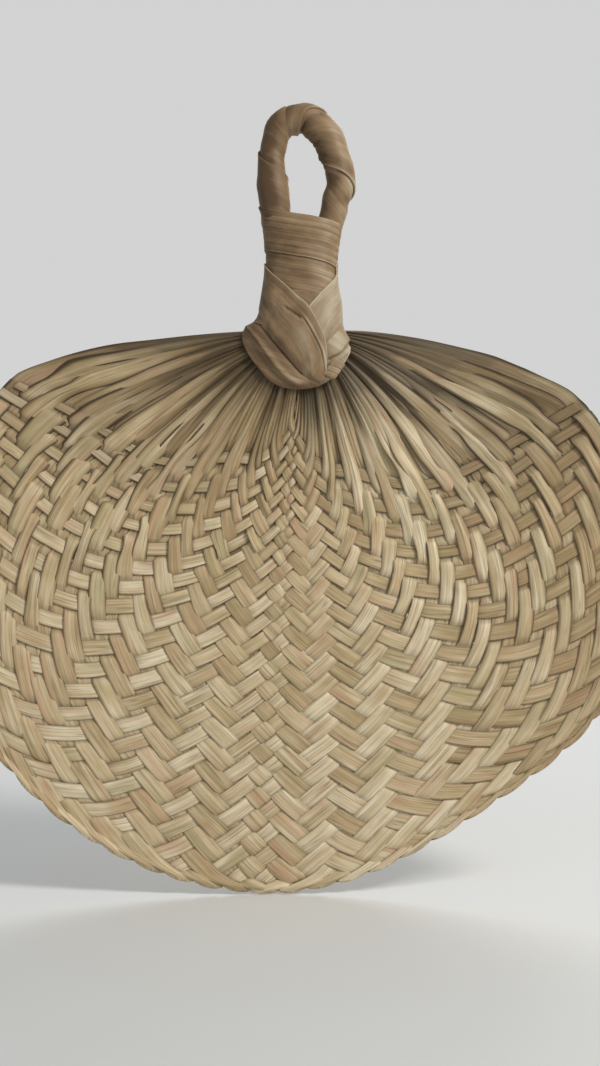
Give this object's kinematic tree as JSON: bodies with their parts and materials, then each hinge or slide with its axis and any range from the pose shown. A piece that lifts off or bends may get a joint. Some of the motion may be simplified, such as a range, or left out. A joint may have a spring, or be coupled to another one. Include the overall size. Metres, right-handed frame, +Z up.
{
  "type": "woven hand fan",
  "caption": "Broad rounded hand fan plaited on the bias from dried leaf strips gathered at a throat, with a leaf-wrapped handle that ends in a hanging loop.",
  "frame": {"origin": "inside top of the hanging loop, where a peg carries the fan", "axes": "+Z up along the handle, X across the blade, -Y towards the viewer of the front"},
  "size_m": [0.3372, 0.0375, 0.3968],
  "materials": {
    "leaf_strip": "dried leaf strips, matt straw to tan with faint lengthwise ribs",
    "wrapping_leaf": "broad dried leaf, taupe brown, softly creased, with a slight sheen",
    "bundle": "bundle of gathered leaf ends, matt",
    "cord": "twisted leaf cord, matt",
    "tucked_leaf": "cut end of a wrapping leaf, darker and matt"
  },
  "bodies": {
    "root": {"folded_leaf_01": "leaf_strip", "folded_leaf_02": "leaf_strip", "folded_leaf_03": "leaf_strip", "folded_leaf_04": "leaf_strip", "folded_leaf_05": "leaf_strip", "folded_leaf_06": "leaf_strip", "folded_leaf_07": "leaf_strip", "folded_leaf_08": "leaf_strip", "folded_leaf_09": "leaf_strip", "folded_leaf_10": "leaf_strip", "folded_leaf_11": "leaf_strip", "folded_leaf_12": "leaf_strip", "folded_leaf_13": "leaf_strip", "folded_leaf_14": "leaf_strip", "left_lapel": "wrapping_leaf", "left_leaf_01": "leaf_strip", "left_leaf_02": "leaf_strip", "left_leaf_03": "leaf_strip", "left_leaf_04": "leaf_strip", "left_leaf_05": "leaf_strip", "left_leaf_06": "leaf_strip", "left_leaf_07": "leaf_strip", "left_leaf_08": "leaf_strip", "left_leaf_09": "leaf_strip", "loop_core": "bundle", "loop_wrap": "wrapping_leaf", "neck_band": "wrapping_leaf", "right_lapel": "wrapping_leaf", "right_leaf_01": "leaf_strip", "right_leaf_02": "leaf_strip", "right_leaf_03": "leaf_strip", "right_leaf_04": "leaf_strip", "right_leaf_05": "leaf_strip", "right_leaf_06": "leaf_strip", "right_leaf_07": "leaf_strip", "right_leaf_08": "leaf_strip", "right_leaf_09": "leaf_strip", "stem_core": "bundle", "throat_lashing": "cord", "throat_skirt": "wrapping_leaf", "tucked_end": "tucked_leaf"}
  },
  "joints": []
}
